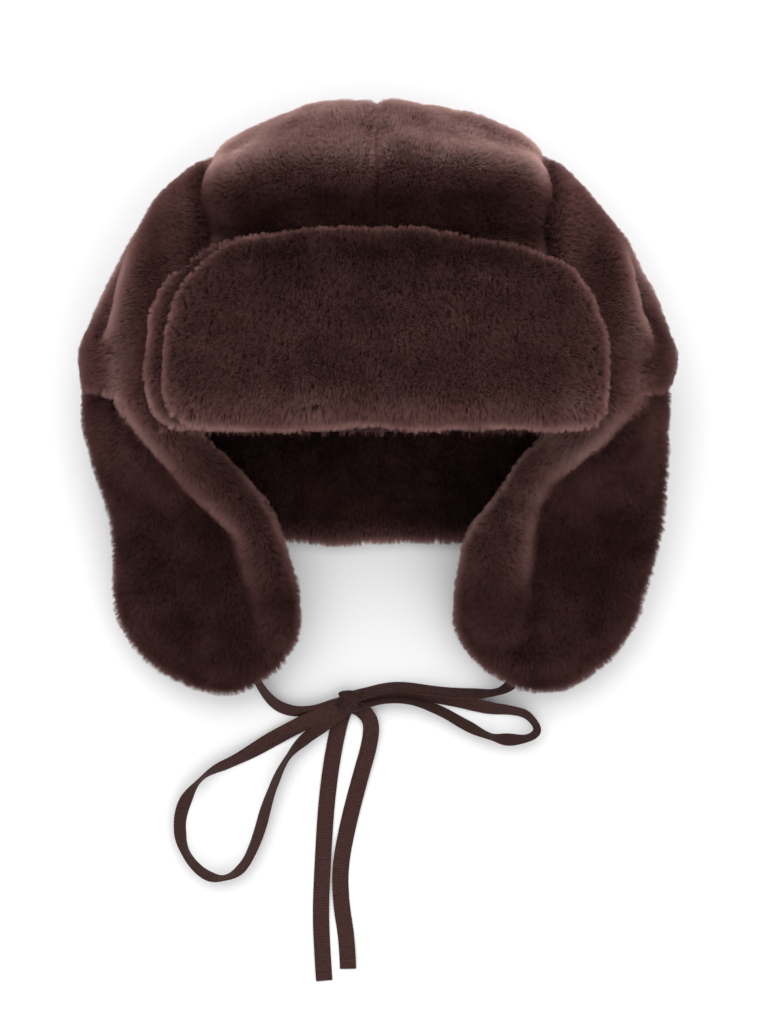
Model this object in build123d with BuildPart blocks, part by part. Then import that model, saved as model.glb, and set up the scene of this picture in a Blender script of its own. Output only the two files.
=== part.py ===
from build123d import *

import math
import os

# Trapper hat of short-pile fur, laid on its back as it is shelved: the crown points to +Y and the
# face side is up (+Z). Left and right are as seen from the face side, so left is -X. Millimetres.
# The origin is the middle of the hat's footprint on the surface that it lies on.

# ---- crown -------------------------------------------------------------------------------------
CROWN_HALF_WIDTH = 163.0     # half width of the flattened crown at its widest
CROWN_DEPTH = 106.0          # back of the crown to its forehead, lying down
CROWN_TOP_Y = 163.0
CROWN_WIDEST_Y = 15.0        # from the rim to here the crown keeps its width
TIP_FRACTION = 0.985         # the crown's closed end is a small flat there
TIP_LIFT = 30.0              # how far the tip of the crown rises off the surface
RIM_NARROWING = 0.03         # how much narrower the crown is at its rim
RIM_Y = -20.0                # edge of the crown at the face and the nape
BAND_TOP_Y = -8.0            # seam between the crown panels and the bands below them
INNER_RIM_Y = RIM_Y + 0.5    # the wadding and the lining stop short of the edge
SIDE_SEAM_X = 92.0           # seam between the centre and side panels
RIM_STATIONS = (-40.0, -20.0, -4.0, 15.0)
DOME_STATIONS = (0.2, 0.4, 0.6, 0.75, 0.88, 0.95, TIP_FRACTION)
BACK_CORNER = 0.45           # the back is flat but for this share of the half width at each side

# ---- layers ------------------------------------------------------------------------------------
FUR = 10.0                   # fur cloth with its pile
WADDING = 4.6
LINING = 1.8
GAP = 0.2                    # between the layers
BODY_GAP = 0.5               # between pieces that move apart
SWEATBAND_TOP_Y = 12.0
FAR = 260.0                  # beyond everything, for cuts

# ---- visor -------------------------------------------------------------------------------------
VISOR_LAYERS = {"visor_back": (0.5, 11.0), "visor_interlining": (11.2, 13.0),
                "visor_front": (13.2, 22.5)}
VISOR_OUTLINE = [
    (106, -20.2), (117, -8), (116.5, 24), (96, 58), (66, 72), (22, 81), (-38, 81),
    (-80, 71), (-108, 50), (-116.5, 24), (-115.5, -6), (-98, -20.2),
]

# ---- ear flaps ---------------------------------------------------------------------------------
FLAP_HINGE_Y = -30.0
FLAP_HINGE_Z = 46.0
FLAP_TIP_Z = 25.0            # top of the flap at its lower end
FLAP_TIP_Y = -163.0
HINGE_GAP = 0.3              # from the flap's fold line to the flap
FLAP_ROOT_Y = FLAP_HINGE_Y - HINGE_GAP
FLAP_FLOOR = 0.3             # underside of the flap where it lies on the surface
FLAP_ROOT_UNDER_Z = 17.0     # the flap stands off the surface at its root
FLAP_LANDS_Y = -115.0        # and lies on it from here on
FLAP_FUR = 11.0
FLAP_WADDING = 4.0
WADDING_INSET = 4.0
LEFT_FLAP_OUTLINE = [
    (-157, -30.3), (-148.5, -75), (-147, -114), (-138.5, -137), (-122, -154), (-98, -162.8),
    (-72, -161.5), (-52, -149.5), (-42.5, -130), (-43.5, -108), (-51.5, -81), (-63, -58), (-86, -30.3),
]
RIGHT_FLAP_OUTLINE = [
    (162.6, -30.3), (162, -58), (156.5, -92), (146, -125), (130, -147), (104, -161.5),
    (80, -160), (58, -150), (45, -131), (43.5, -112), (49, -81), (62, -57), (81, -30.3),
]

# ---- neck flap ---------------------------------------------------------------------------------
NECK_THICKNESS = 16.0
NECK_FUR = 7.0
NECK_ROOT_Y = RIM_Y - GAP
NECK_OUTLINE = [
    (-100, NECK_ROOT_Y), (-95, -50), (-78, -74), (-45, -82.5), (0, -84), (45, -82.5), (78, -74),
    (95, -50), (100, NECK_ROOT_Y),
]
NECK_POCKET = (104.0, 88.0)  # half width and reach of the room that the ear flaps leave for it

# ---- side bands --------------------------------------------------------------------------------
SIDE_BAND_X = 122.0
SIDE_BAND_END_Y = FLAP_HINGE_Y + 0.5
SIDE_BAND_FRONT_Z = 94.0     # height of the band where its front edge starts to slope
SIDE_BAND_LOW_Z = 48.0       # and at the ear flap

# ---- ribbons -----------------------------------------------------------------------------------
RIBBON_WIDTH = 9.5
RIBBON_THICKNESS = 1.0
KNOT_CENTRE = (-15.9, -173.7, 4.1)
KNOT_SIZE = (12.4, 12.8, 7.6)
KNOT_ROUNDING = 2.0
FLAT = 1.0                   # height of the ribbon's middle where it lies flat on the surface
ROLLED = 1.9                 # and where it has rolled a little on its way down from a flap or the knot
LEFT_LEAD = [
    (-68.4, -163.6, 12.0), (-62.0, -172.8, 4.5), (-49.5, -179.4, ROLLED), (-34.6, -176.9, ROLLED),
    (-20.9, -171.7, 2.2),
]
LEFT_LOOP = [
    (-20.9, -176.9, 4.4), (-33.5, -181.2, 4.2), (-55.8, -192.4, 2.2), (-78.0, -205.6, FLAT),
    (-101.0, -215.4, FLAT), (-113.5, -236.0, FLAT), (-111.5, -259.0, FLAT), (-95.5, -275.5, FLAT),
    (-78.0, -271.5, FLAT), (-68.3, -252.0, FLAT), (-61.8, -227.0, FLAT), (-51.5, -203.5, FLAT),
    (-36.6, -190.6, 1.5), (-21.4, -179.0, 2.6),
]
LEFT_TAIL = [
    (-20.4, -179.7, FLAT), (-25.6, -203.5, FLAT), (-29.3, -232.0, FLAT), (-31.2, -263.5, FLAT),
    (-32.5, -292.0, FLAT), (-31.8, -313.2, FLAT), (-30.4, -333.3, FLAT),
]
RIGHT_LEAD = [
    (78.5, -165.3, 11.0), (71.0, -167.5, 4.0), (59.5, -169.2, FLAT), (36.0, -168.2, FLAT),
    (9.5, -164.0, FLAT), (-10.7, -169.6, FLAT),
]
RIGHT_LOOP = [
    (-10.7, -172.6, 4.4), (15.0, -168.4, 4.4), (42.5, -172.0, 4.2), (62.0, -177.0, 4.0),
    (77.0, -178.2, 3.0), (85.3, -180.4, FLAT), (91.3, -187.6, FLAT), (90.3, -196.6, FLAT),
    (83.5, -202.4, FLAT), (67.5, -201.8, FLAT), (50.5, -190.8, FLAT), (33.5, -177.8, 1.9),
    (10.5, -170.8, 2.6), (-10.7, -174.6, 2.6),
]
RIGHT_TAIL = [
    (-10.9, -175.6, 6.9), (-3.4, -182.4, 5.4), (-3.9, -196.0, ROLLED), (-9.8, -216.5, ROLLED),
    (-16.4, -241.5, ROLLED), (-21.6, -268.0, ROLLED), (-20.8, -290.0, ROLLED), (-17.4, -309.5, ROLLED),
    (-16.8, -327.0, ROLLED),
]


def section_at(y, inset):
    """Half width, half depth and middle height of the crown's cross-section at y, inset all round."""
    reach = (CROWN_TOP_Y - CROWN_WIDEST_Y) / TIP_FRACTION - inset
    u = max(0.0, (y - CROWN_WIDEST_Y) / reach)
    rim = min(1.0, max(0.0, (CROWN_WIDEST_Y - y) / (CROWN_WIDEST_Y - RIM_Y)))
    half_width = (CROWN_HALF_WIDTH - inset) * (1 - u ** 1.5) ** 0.4545 * (1 - RIM_NARROWING * rim ** 2)
    half_depth = (CROWN_DEPTH / 2 - inset) * math.sqrt(1 - u ** 2.2)
    return half_width, half_depth, inset + half_depth + TIP_LIFT * u ** 3


def crown_form(inset):
    """The solid that the crown's surface encloses, its skin moved inwards by inset."""
    reach = (CROWN_TOP_Y - CROWN_WIDEST_Y) / TIP_FRACTION - inset
    stations = list(RIM_STATIONS) + [CROWN_WIDEST_Y + u * reach for u in DOME_STATIONS]
    with BuildPart() as form:
        for y in stations:
            half_width, half_depth, middle = section_at(y, inset)
            with BuildSketch(Plane((0, y, 0), x_dir=(1, 0, 0), z_dir=(0, -1, 0))):
                with BuildLine():
                    corner = BACK_CORNER * half_width
                    flat = half_width - corner
                    EllipticalCenterArc((0, middle), half_width, half_depth, start_angle=0, arc_size=180)
                    EllipticalCenterArc((-flat, middle), corner, half_depth, start_angle=180, arc_size=90)
                    Line((-flat, middle - half_depth), (flat, middle - half_depth))
                    EllipticalCenterArc((flat, middle), corner, half_depth, start_angle=270, arc_size=90)
                make_face()
        loft()
    return form.part


def crown_wall(outer, inner):
    """Crown wall between two insets, open at the rim."""
    with BuildPart() as wall:
        add(crown_form(outer))
        add(crown_form(inner), mode=Mode.SUBTRACT)
    return wall.part


def cut_box(x_low, x_high, y_low, y_high, z_low=-60.0, z_high=200.0):
    """Keep only what lies between two corners, in the part being built."""
    size = (x_high - x_low, y_high - y_low, z_high - z_low)
    middle = ((x_low + x_high) / 2, (y_low + y_high) / 2, (z_low + z_high) / 2)
    with Locations(middle):
        Box(*size, mode=Mode.INTERSECT)


def save(part, name):
    """Label a finished piece and write it as one STEP file."""
    part.label = name
    export_step(part, f"parts/{name}.step")


def make_crown():
    """Four fur panels, the wadding under them, three lining panels and the sweatband."""
    fur = crown_wall(0.0, FUR)
    wadding = crown_wall(FUR + GAP, FUR + WADDING)
    lining_out = FUR + WADDING + GAP
    lining = crown_wall(lining_out, lining_out + LINING)
    band_out = lining_out + LINING + GAP
    sweat = crown_wall(band_out, band_out + LINING)
    panels = {
        "crown_side_left": (fur, -FAR, -SIDE_SEAM_X, BAND_TOP_Y, FAR),
        "crown_centre_left": (fur, -SIDE_SEAM_X, 0, BAND_TOP_Y, FAR),
        "crown_centre_right": (fur, 0, SIDE_SEAM_X, BAND_TOP_Y, FAR),
        "crown_side_right": (fur, SIDE_SEAM_X, FAR, BAND_TOP_Y, FAR),
        "crown_wadding": (wadding, -FAR, FAR, INNER_RIM_Y, FAR),
        "lining_side_left": (lining, -FAR, -SIDE_SEAM_X, INNER_RIM_Y, FAR),
        "lining_centre": (lining, -SIDE_SEAM_X, SIDE_SEAM_X, INNER_RIM_Y, FAR),
        "lining_side_right": (lining, SIDE_SEAM_X, FAR, INNER_RIM_Y, FAR),
        "sweatband": (sweat, -FAR, FAR, INNER_RIM_Y, SWEATBAND_TOP_Y),
    }
    for name, (wall, x_low, x_high, y_low, y_high) in panels.items():
        with BuildPart() as panel:
            add(wall)
            cut_box(x_low, x_high, y_low, y_high)
        save(panel.part, name)
    make_bands(fur)


def make_bands(fur):
    """Rim bands: one over the face, one at the nape and one at each ear."""
    seam_y = BAND_TOP_Y - GAP
    half = CROWN_DEPTH / 2
    with BuildPart() as front_band:
        add(fur)
        cut_box(-SIDE_BAND_X, SIDE_BAND_X, RIM_Y, seam_y, z_low=half)
    save(front_band.part, "front_band")
    with BuildPart() as nape_band:
        add(fur)
        cut_box(-SIDE_BAND_X, SIDE_BAND_X, RIM_Y, seam_y, z_high=half)
    save(nape_band.part, "nape_band")
    sides = {"side_band_left": (-FAR, -SIDE_BAND_X), "side_band_right": (SIDE_BAND_X, FAR)}
    for name, (x_low, x_high) in sides.items():
        with BuildPart() as side_band:
            with BuildSketch(Plane.YZ):
                with BuildLine():
                    Polyline((seam_y, -10), (seam_y, CROWN_DEPTH), (RIM_Y, SIDE_BAND_FRONT_Z),
                             (SIDE_BAND_END_Y, SIDE_BAND_LOW_Z), (SIDE_BAND_END_Y, -10), close=True)
                make_face()
            extrude(amount=FAR, both=True)
            add(fur, mode=Mode.INTERSECT)
            cut_box(x_low, x_high, -FAR, FAR)
        save(side_band.part, name)


def make_visor():
    """Turned-up visor: two fur layers and an interlining that follow the front of the crown."""
    for name, (under, over) in VISOR_LAYERS.items():
        with BuildPart() as layer:
            with BuildSketch(Plane.XY.offset(CROWN_DEPTH / 2)):
                with BuildLine():
                    edge = Spline(*VISOR_OUTLINE)
                    Line(edge @ 1, edge @ 0)
                make_face()
            extrude(amount=FAR)
            add(crown_form(-over), mode=Mode.INTERSECT)
            add(crown_form(-under), mode=Mode.SUBTRACT)
        save(layer.part, name)


def flap_top(y, depth):
    """Height of the ear flap's upper side at y, less depth."""
    share = (FLAP_ROOT_Y - y) / (FLAP_ROOT_Y - FLAP_TIP_Y)
    return FLAP_HINGE_Z - HINGE_GAP + (FLAP_TIP_Z - FLAP_HINGE_Z) * share - depth


def drawn_in(outline, inset):
    """The outline's points moved towards its middle by inset."""
    middle_x = sum(x for x, _ in outline) / len(outline)
    middle_y = sum(y for _, y in outline) / len(outline)
    points = []
    for x, y in outline:
        away = math.hypot(x - middle_x, y - middle_y)
        keep = 1 - inset / away
        points.append((middle_x + keep * (x - middle_x), middle_y + keep * (y - middle_y)))
    return points


def make_ear_flap(side, outline):
    """Ear flap of two fur layers and wadding, thicker and raised at its root."""
    low = FLAP_TIP_Y - 2.0
    layers = {
        "outer": (0.0, FLAP_FUR, 0.0),
        "wadding": (FLAP_FUR + GAP, FLAP_FUR + FLAP_WADDING, WADDING_INSET),
        "inner": (FLAP_FUR + FLAP_WADDING + GAP, None, 0.0),
    }
    for layer_name, (over, under, inset) in layers.items():
        upper = [(low, flap_top(low, over)), (FLAP_ROOT_Y, flap_top(FLAP_ROOT_Y, over))]
        lower = [(FLAP_ROOT_Y, FLAP_ROOT_UNDER_Z), (FLAP_LANDS_Y, FLAP_FLOOR), (low, FLAP_FLOOR)]
        if under is not None:
            lower = [(FLAP_ROOT_Y, flap_top(FLAP_ROOT_Y, under)), (low, flap_top(low, under))]
        with BuildPart() as layer:
            with BuildSketch():
                with BuildLine():
                    edge = Spline(*drawn_in(outline, inset))
                    Line(edge @ 1, edge @ 0)
                make_face()
            extrude(amount=CROWN_DEPTH)
            with BuildSketch(Plane.YZ):
                with BuildLine():
                    Polyline(*upper, *lower, close=True)
                make_face()
            extrude(amount=FAR, both=True, mode=Mode.INTERSECT)
            if under is None:
                half_width, reach = NECK_POCKET
                room = NECK_THICKNESS + BODY_GAP
                with Locations((0, -reach / 2, 0)):
                    Box(2 * half_width, reach, 2 * room, mode=Mode.SUBTRACT)
        save(layer.part, f"{side}_ear_flap_{layer_name}")


def make_neck_flap():
    """Neck flap that lies flat under the ear flaps."""
    layers = {
        "neck_flap_outer": (0.0, NECK_FUR, 0.0),
        "neck_flap_wadding": (NECK_FUR + GAP, NECK_THICKNESS - NECK_FUR - GAP, WADDING_INSET),
        "neck_flap_inner": (NECK_THICKNESS - NECK_FUR, NECK_THICKNESS, 0.0),
    }
    for name, (low, high, inset) in layers.items():
        with BuildPart() as layer:
            with BuildSketch(Plane.XY.offset(low)):
                with BuildLine():
                    edge = Spline(*drawn_in(NECK_OUTLINE, inset))
                    Line(edge @ 1, edge @ 0)
                make_face()
            extrude(amount=high - low)
        save(layer.part, name)


def corner_radii(points):
    """Largest fair radius at each corner of a ribbon's route."""
    radii = []
    for before, corner, after in zip(points, points[1:], points[2:]):
        run_in = Vector(*corner) - Vector(*before)
        run_out = Vector(*after) - Vector(*corner)
        half_turn = math.radians(run_in.get_angle(run_out) / 2)
        radii.append(0.45 * min(run_in.length, run_out.length) / math.tan(half_turn))
    return radii


def make_ribbon(name, points):
    """Flat ribbon swept along straight runs joined by tangent arcs; returns its length."""
    radii = corner_radii(points)
    with BuildPart() as ribbon:
        with BuildLine() as route:
            FilletPolyline(*points, radius=radii)
        path = route.wire()
        start = path % 0
        across = Vector(0, 0, 1).cross(start)
        with BuildSketch(Plane(path @ 0, x_dir=across, z_dir=start)):
            Rectangle(RIBBON_WIDTH, RIBBON_THICKNESS)
        sweep(path=path)
    save(ribbon.part, name)
    expected = path.length * RIBBON_WIDTH * RIBBON_THICKNESS
    print(f"{name}: {path.length:.1f} mm long, tightest radius {min(radii):.1f} mm,",
          f"volume {ribbon.part.volume / expected:.3f} of section times length")
    return path.length


def make_ties():
    """A ribbon from each ear flap, in three stretches each, and the bow's knot."""
    routes = {
        "ribbon_left_lead": LEFT_LEAD, "ribbon_left_loop": LEFT_LOOP, "ribbon_left_tail": LEFT_TAIL,
        "ribbon_right_lead": RIGHT_LEAD, "ribbon_right_loop": RIGHT_LOOP,
        "ribbon_right_tail": RIGHT_TAIL,
    }
    for name, points in routes.items():
        make_ribbon(name, points)
    with BuildPart() as bow_knot:
        with Locations(KNOT_CENTRE):
            Box(*KNOT_SIZE)
        fillet(bow_knot.edges(), radius=KNOT_ROUNDING)
    save(bow_knot.part, "bow_knot")


os.makedirs("parts", exist_ok=True)
make_crown()
make_visor()
make_ear_flap("left", LEFT_FLAP_OUTLINE)
make_ear_flap("right", RIGHT_FLAP_OUTLINE)
make_neck_flap()
make_ties()
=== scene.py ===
import math

import bmesh
import bpy
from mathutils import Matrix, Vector, noise
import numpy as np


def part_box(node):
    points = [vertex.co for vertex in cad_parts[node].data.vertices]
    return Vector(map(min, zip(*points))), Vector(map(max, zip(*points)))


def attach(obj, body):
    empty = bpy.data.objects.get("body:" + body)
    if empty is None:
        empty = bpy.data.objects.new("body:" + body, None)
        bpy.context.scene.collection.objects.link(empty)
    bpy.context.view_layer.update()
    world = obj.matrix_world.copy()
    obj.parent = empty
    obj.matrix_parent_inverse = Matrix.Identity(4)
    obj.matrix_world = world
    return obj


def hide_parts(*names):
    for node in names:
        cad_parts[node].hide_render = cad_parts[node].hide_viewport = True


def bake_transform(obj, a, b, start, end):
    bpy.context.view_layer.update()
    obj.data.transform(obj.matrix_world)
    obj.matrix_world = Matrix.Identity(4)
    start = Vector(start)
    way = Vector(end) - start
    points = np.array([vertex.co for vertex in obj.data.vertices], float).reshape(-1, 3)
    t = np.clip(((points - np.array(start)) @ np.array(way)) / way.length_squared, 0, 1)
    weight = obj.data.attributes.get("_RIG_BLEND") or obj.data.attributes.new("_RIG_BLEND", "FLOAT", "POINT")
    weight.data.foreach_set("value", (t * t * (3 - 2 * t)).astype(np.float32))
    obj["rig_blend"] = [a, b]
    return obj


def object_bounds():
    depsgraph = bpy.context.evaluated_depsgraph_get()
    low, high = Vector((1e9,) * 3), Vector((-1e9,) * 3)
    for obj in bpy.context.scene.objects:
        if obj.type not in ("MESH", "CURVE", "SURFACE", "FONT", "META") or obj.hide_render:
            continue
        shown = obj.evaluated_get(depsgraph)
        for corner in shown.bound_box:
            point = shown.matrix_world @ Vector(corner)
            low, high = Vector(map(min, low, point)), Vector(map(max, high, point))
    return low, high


# Trapper hat of short-pile fur, lying on its back with the visor turned up and the ear flaps tied.
# Every outline and height below is in millimetres, in the frame of the CAD model, and is turned
# into metres where a mesh is made.

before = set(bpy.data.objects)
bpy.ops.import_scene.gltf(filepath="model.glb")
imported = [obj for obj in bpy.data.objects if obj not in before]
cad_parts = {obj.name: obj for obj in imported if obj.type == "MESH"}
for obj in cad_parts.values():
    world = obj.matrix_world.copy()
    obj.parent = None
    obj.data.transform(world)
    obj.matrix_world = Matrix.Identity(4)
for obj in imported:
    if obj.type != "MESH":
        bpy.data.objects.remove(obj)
cad_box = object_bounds()
MM = 0.001


def node_box(node):
    """Lowest and highest corner of a CAD node in millimetres."""
    low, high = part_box(node)
    return [c / MM for c in low], [c / MM for c in high]


# ---- sizes read from the frame -----------------------------------------------------------------
HALF_WIDTH = node_box("crown_side_right")[1][0]
CROWN_DEPTH = node_box("crown_centre_left")[1][2]
CROWN_TOP_Y = node_box("crown_centre_left")[1][1]
BAND_TOP_Y = node_box("crown_centre_left")[0][1]
RIM_Y = node_box("front_band")[0][1]
SIDE_SEAM_X = node_box("crown_side_right")[0][0]
SIDE_BAND_X = node_box("side_band_right")[0][0]
FLAP_HINGE_Y = node_box("left_ear_flap_outer")[1][1]
NECK_TOP_Z = node_box("neck_flap_inner")[1][2]
VISOR_TOP_Z = node_box("visor_front")[1][2]

# ---- shape of the crown ------------------------------------------------------------------------
WIDEST_Y = 15.0              # from the rim to here the crown keeps its width
RIM_NARROWING = 0.03
TIP_FRACTION = 0.985
TIP_LIFT = 30.0
BACK_POWER = 4.0             # the back lies flat
CELL = 2.6

# ---- layers of the crown, as how far each lies under the outline --------------------------------
FUR_INSET = 2.0
WADDING_INSET = 11.8
LINING_INSET = 16.4
SWEATBAND_INSET = 18.6

# ---- ribbon ------------------------------------------------------------------------------------
RIBBON_WIDTH = 9.5
RIBBON_THICKNESS = 0.7
RIB_PITCH = 0.9
RIB_HEIGHT = 0.07
SELVEDGE_TOOTH = 0.14        # how far every other rib stops short of the edge

# ---- pile --------------------------------------------------------------------------------------
PILE_DEPTH = 6.0             # the skin lies this far under the tips of the pile
PILE_LENGTH = 5.4
PILE_COMB = (0.0, -1.5, 0.0)
PILE_SPREAD = 0.6
STRAND_RADIUS = 0.125
STRANDS_PER_GUIDE = 20
SEAM_MARK = 0.51             # what the pile layer holds at a seam, and 1 elsewhere on the outer side
HAIRS_PER_CM2 = 850


def lerp(a, b, t):
    return a + (b - a) * t


def smooth(low, high, value):
    """0 below low, 1 above high, smooth between."""
    t = min(1.0, max(0.0, (value - low) / (high - low)))
    return t * t * (3 - 2 * t)


def bell(distance, width):
    """1 at distance 0, fading out on both sides."""
    return math.exp(-(distance / width) ** 2)


def line_at(points, key):
    """x on a line given as (x, y) points, at the height y = key; the points run from high y to low y."""
    for (xa, ya), (xb, yb) in zip(points, points[1:]):
        if key >= yb:
            return lerp(xa, xb, min(1.0, max(0.0, (ya - key) / (ya - yb))))
    return points[-1][0]


def section_at(y, inset=0.0):
    """Half width, half depth and middle height of the crown's cross-section at y."""
    reach = (CROWN_TOP_Y - WIDEST_Y) / TIP_FRACTION - inset
    u = min(1.0, max(0.0, (y - WIDEST_Y) / reach))
    rim = min(1.0, max(0.0, (WIDEST_Y - y) / (WIDEST_Y - RIM_Y)))
    half_width = (HALF_WIDTH - inset) * (1 - u ** 1.5) ** 0.4545 * (1 - RIM_NARROWING * rim ** 2)
    half_depth = (CROWN_DEPTH / 2 - inset) * math.sqrt(max(0.0, 1 - u ** 2.2))
    return half_width, half_depth, inset + half_depth + TIP_LIFT * u ** 3


def crown_z(x, y):
    """Height of the crown's face side at x, y."""
    half_width, half_depth, middle = section_at(y)
    return middle + half_depth * math.sqrt(max(0.0, 1 - (x / half_width) ** 2))


def fur_noise(point, scale, seed=0.0):
    """Smooth noise whose lumps are scale millimetres wide."""
    return noise.noise(Vector((point[0] / scale + seed, point[1] / scale - seed, point[2] / scale)))


def level(z):
    """Flat height function for a pad."""
    return lambda x, y: z


def over_crown(rise):
    """Height function that follows the crown's face side, rise above it."""
    return lambda x, y: crown_z(x, y) + rise


def soft_relief(point):
    """Slow lumps of a soft fur skin, in millimetres."""
    return 2.0 * fur_noise(point, 42.0) + 0.9 * fur_noise(point, 15.0, 3.0)


# ---- meshes ------------------------------------------------------------------------------------
def new_object(name, bm):
    """Turn a bmesh in millimetres into an object in metres."""
    bmesh.ops.recalc_face_normals(bm, faces=bm.faces)
    for vert in bm.verts:
        vert.co *= MM
    mesh = bpy.data.meshes.new(name)
    bm.to_mesh(mesh)
    bm.free()
    mesh.shade_smooth()
    obj = bpy.data.objects.new(name, mesh)
    bpy.context.scene.collection.objects.link(obj)
    return obj


def close_shell(bm, depth):
    """Give an open surface a thickness inwards and close its edges; its outer side is kept in a layer."""
    layer = bm.verts.layers.float.new("pile")
    bm.normal_update()
    outer = list(bm.verts)
    faces = list(bm.faces)
    borders = [edge for edge in bm.edges if edge.is_boundary]
    inner = {}
    for vert in outer:
        inner[vert] = bm.verts.new(vert.co - vert.normal * depth)
    for vert in outer:
        vert[layer] = 1.0
    for face in faces:
        bm.faces.new([inner[v] for v in reversed(face.verts)])
    for edge in borders:
        a, b = edge.verts
        bm.faces.new([a, b, inner[b], inner[a]])


def displace(bm, amount):
    """Move every vertex along its normal by amount(position), in millimetres."""
    bm.normal_update()
    moves = [(vert, vert.normal.copy(), amount(vert.co)) for vert in bm.verts]
    for vert, normal, size in moves:
        vert.co += normal * size


def closed_curve(points, count):
    """count points, evenly along a closed smooth curve through the given points."""
    dense = []
    total = len(points)
    for i in range(total):
        p0, p1, p2, p3 = (Vector(points[(i + k - 1) % total]) for k in range(4))
        for k in range(16):
            t = k / 16
            dense.append(0.5 * (2 * p1 + (p2 - p0) * t + (2 * p0 - 5 * p1 + 4 * p2 - p3) * t * t
                                + (3 * p1 - p0 - 3 * p2 + p3) * t ** 3))
    lengths = [0.0]
    for a, b in zip(dense, dense[1:] + dense[:1]):
        lengths.append(lengths[-1] + (b - a).length)
    result = []
    index = 0
    for k in range(count):
        target = lengths[-1] * k / count
        while lengths[index + 1] < target:
            index += 1
        share = (target - lengths[index]) / max(1e-9, lengths[index + 1] - lengths[index])
        result.append(dense[index].lerp(dense[(index + 1) % len(dense)], share))
    return result


def pillow(outline, top, bottom, roundness, cell=CELL):
    """Closed pad over an outline between two height functions, rounded over at its edge."""
    length = sum((Vector(a) - Vector(b)).length for a, b in zip(outline, outline[1:] + outline[:1]))
    edge = closed_curve(outline, int(length / cell))
    centre = sum(edge, Vector((0, 0))) / len(edge)
    reach = sum((p - centre).length for p in edge) / len(edge)
    rings = int(1.25 * reach / cell)
    bm = bmesh.new()
    poles = [bm.verts.new((*centre, top(*centre))), bm.verts.new((*centre, bottom(*centre)))]
    sides = ([], [])
    for j in range(1, rings + 1):
        share = 1 - (1 - j / rings) ** 1.5
        rows = ([], [])
        for p in edge:
            x, y = centre.lerp(p, share)
            near = min(1.0, (p - centre).length * (1 - share) / roundness)
            full = math.sqrt(max(0.0, 1 - (1 - near) ** 2))
            middle = (top(x, y) + bottom(x, y)) / 2
            rows[0].append(bm.verts.new((x, y, lerp(middle, top(x, y), full))))
            if j < rings:
                rows[1].append(bm.verts.new((x, y, lerp(middle, bottom(x, y), full))))
        if j == rings:
            rows = (rows[0], rows[0])
        sides[0].append(rows[0])
        sides[1].append(rows[1])
    count = len(edge)
    for side, pole in zip(sides, poles):
        for i in range(count):
            k = (i + 1) % count
            bm.faces.new([pole, side[0][i], side[0][k]])
            for inner, outer in zip(side, side[1:]):
                bm.faces.new([inner[i], outer[i], outer[k], inner[k]])
    bmesh.ops.recalc_face_normals(bm, faces=bm.faces)
    layer = bm.verts.layers.float.new("pile")
    for vert in bm.verts:
        vert[layer] = 1.0
    return bm


def drawn_in(outline, inset):
    """The outline's points moved towards its middle by inset."""
    centre = sum((Vector(p) for p in outline), Vector((0, 0))) / len(outline)
    return [tuple(Vector(p) + (centre - Vector(p)).normalized() * inset) for p in outline]


def bake(obj):
    """Turn an object's modifiers into its mesh."""
    graph = bpy.context.evaluated_depsgraph_get()
    mesh = bpy.data.meshes.new_from_object(obj.evaluated_get(graph))
    obj.modifiers.clear()
    obj.data = mesh


def inflate(obj, cap, voxel=3.2, pressure=4.0):
    """Swell a closed pad as cloth under pressure, in weightlessness; no point moves further than cap mm."""
    scene = bpy.context.scene
    remesh = obj.modifiers.new("remesh", "REMESH")
    remesh.mode = "VOXEL"
    remesh.voxel_size = voxel * MM
    bake(obj)
    rest = [v.co.copy() for v in obj.data.vertices]
    cloth = obj.modifiers.new("cloth", "CLOTH")
    cloth.settings.use_pressure = True
    cloth.settings.uniform_pressure_force = pressure
    cloth.settings.effector_weights.gravity = 0.0
    cloth.point_cache.frame_start = 1
    cloth.point_cache.frame_end = 20
    for frame_number in range(1, 21):
        scene.frame_set(frame_number)
    swollen = obj.evaluated_get(bpy.context.evaluated_depsgraph_get()).to_mesh()
    places = [v.co.copy() for v in swollen.vertices]
    obj.modifiers.clear()
    for vert, start, place in zip(obj.data.vertices, rest, places):
        move = place - start
        move *= min(1.0, cap * MM / max(move.length, 1e-9))
        vert.co = start + move
    scene.frame_set(1)
    obj.modifiers.new("smooth", "SUBSURF").levels = 1
    bake(obj)
    obj.data.shade_smooth()
    if "pile" not in obj.data.attributes:
        obj.data.attributes.new("pile", "FLOAT", "POINT")
    for value in obj.data.attributes["pile"].data:
        value.value = 1.0
    return obj


def make_pad(name, node, slot, outline, top, bottom, body=None):
    """Flat filling between two layers of fur."""
    piece = new_object(name, pillow(outline, top, bottom, 2.0, cell=5.0))
    finish_piece(piece, slot, [node], body)
    return piece


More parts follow.
